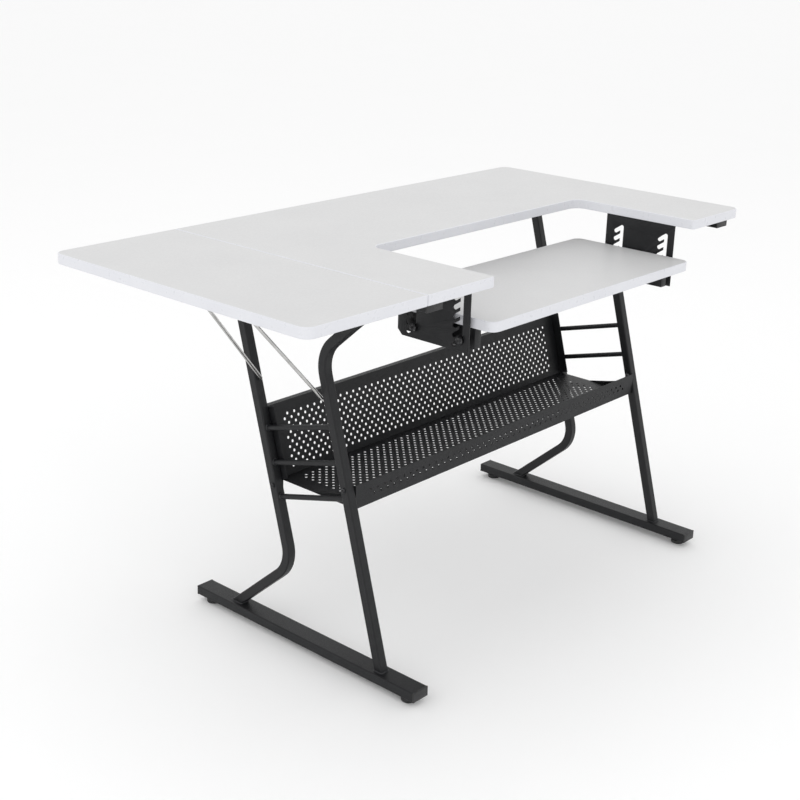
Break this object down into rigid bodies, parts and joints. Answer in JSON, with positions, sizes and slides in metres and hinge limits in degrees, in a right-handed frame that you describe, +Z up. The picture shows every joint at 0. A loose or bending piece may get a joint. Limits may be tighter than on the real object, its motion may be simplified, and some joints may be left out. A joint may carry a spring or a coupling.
{
  "type": "sewing table",
  "caption": "Sewing table with a fold-down side leaf on a wire stay, a height-adjustable machine platform in a cut-out, tubular A-shaped leg frames and a perforated shelf.",
  "frame": {"origin": "on the floor under the centre of the table top", "axes": "+X from the folding leaf towards the machine cut-out's end, +Y from the user's side to the back, +Z up"},
  "size_m": [1.217, 0.597, 0.741],
  "materials": {
    "white_board": "satin",
    "white_edge": "satin",
    "black_metal": "satin",
    "black_plastic": "matte",
    "hinge_steel": "satin",
    "bright_wire": "polished",
    "dark_fastener": "satin",
    "zinc_fastener": "satin"
  },
  "bodies": {
    "table": {"main_top_board": "white_board", "main_top_edge_band": "white_edge", "left_foot_bar": "black_metal", "left_top_rail": "black_metal", "left_front_leg": "black_metal", "left_rear_leg": "black_metal", "left_rung_upper": "black_metal", "left_rung_middle": "black_metal", "left_rung_lower": "black_metal", "left_height_bracket": "black_metal", "right_foot_bar": "black_metal", "right_top_rail": "black_metal", "right_front_leg": "black_metal", "right_rear_leg": "black_metal", "right_rung_upper": "black_metal", "right_rung_middle": "black_metal", "right_rung_lower": "black_metal", "right_height_bracket": "black_metal", "perforated_shelf": "black_metal", "left_foot_cap_front": "black_plastic", "left_rail_cap_front": "black_plastic", "left_foot_cap_rear": "black_plastic", "left_rail_cap_rear": "black_plastic", "right_foot_cap_front": "black_plastic", "right_rail_cap_front": "black_plastic", "right_foot_cap_rear": "black_plastic", "right_rail_cap_rear": "black_plastic", "leveler_nuts": "zinc_fastener", "rail_screws": "dark_fastener", "shelf_screws": "dark_fastener", "shelf_nuts": "zinc_fastener", "bracket_screws": "dark_fastener", "hinge_main_screws": "zinc_fastener", "hinge_front_main_plate": "hinge_steel", "hinge_rear_main_plate": "hinge_steel", "hinge_front_pin": "hinge_steel", "hinge_rear_pin": "hinge_steel"},
    "leaf": {"leaf_board": "white_board", "leaf_edge_band": "white_edge", "hinge_front_leaf_plate": "hinge_steel", "hinge_rear_leaf_plate": "hinge_steel", "hinge_leaf_screws": "zinc_fastener", "stay_clip_front": "black_plastic", "stay_clip_rear": "black_plastic", "stay_clip_screws": "zinc_fastener"},
    "stay": {"leaf_stay": "bright_wire"},
    "platform": {"platform_board": "white_board", "platform_edge_band": "white_edge", "left_platform_arm": "black_metal", "right_platform_arm": "black_metal", "platform_arm_screws": "dark_fastener", "platform_pins": "dark_fastener", "platform_pin_nuts": "zinc_fastener"},
    "left_leveler_front": {"left_leveler_front": "black_plastic"},
    "left_leveler_rear": {"left_leveler_rear": "black_plastic"},
    "right_leveler_front": {"right_leveler_front": "black_plastic"},
    "right_leveler_rear": {"right_leveler_rear": "black_plastic"}
  },
  "joints": [
    {"name": "leaf_fold", "type": "hinge", "parent": "table", "child": "leaf", "pos_m": [-0.3495, 0, 0.719], "axis": [0, -1, 0], "range_deg": [0, 90]},
    {"name": "stay_swing", "type": "hinge", "parent": "table", "child": "stay", "pos_m": [-0.3131, 0.0357, 0.495], "axis": [0, -1, 0], "range_deg": [0, 114.3]},
    {"name": "platform_lift", "type": "slide", "parent": "table", "child": "platform", "axis": [0, 0, 1], "range_m": [0, 0.079]},
    {"name": "left_leveler_front_screw", "type": "slide", "parent": "table", "child": "left_leveler_front", "axis": [0, 0, -1], "range_m": [0, 0.01]},
    {"name": "left_leveler_rear_screw", "type": "slide", "parent": "table", "child": "left_leveler_rear", "axis": [0, 0, -1], "range_m": [0, 0.01]},
    {"name": "right_leveler_front_screw", "type": "slide", "parent": "table", "child": "right_leveler_front", "axis": [0, 0, -1], "range_m": [0, 0.01]},
    {"name": "right_leveler_rear_screw", "type": "slide", "parent": "table", "child": "right_leveler_rear", "axis": [0, 0, -1], "range_m": [0, 0.01]}
  ],
  "couplings": [
    {"joint": "stay_swing", "follows": "leaf_fold", "ratio": 1.27}
  ]
}
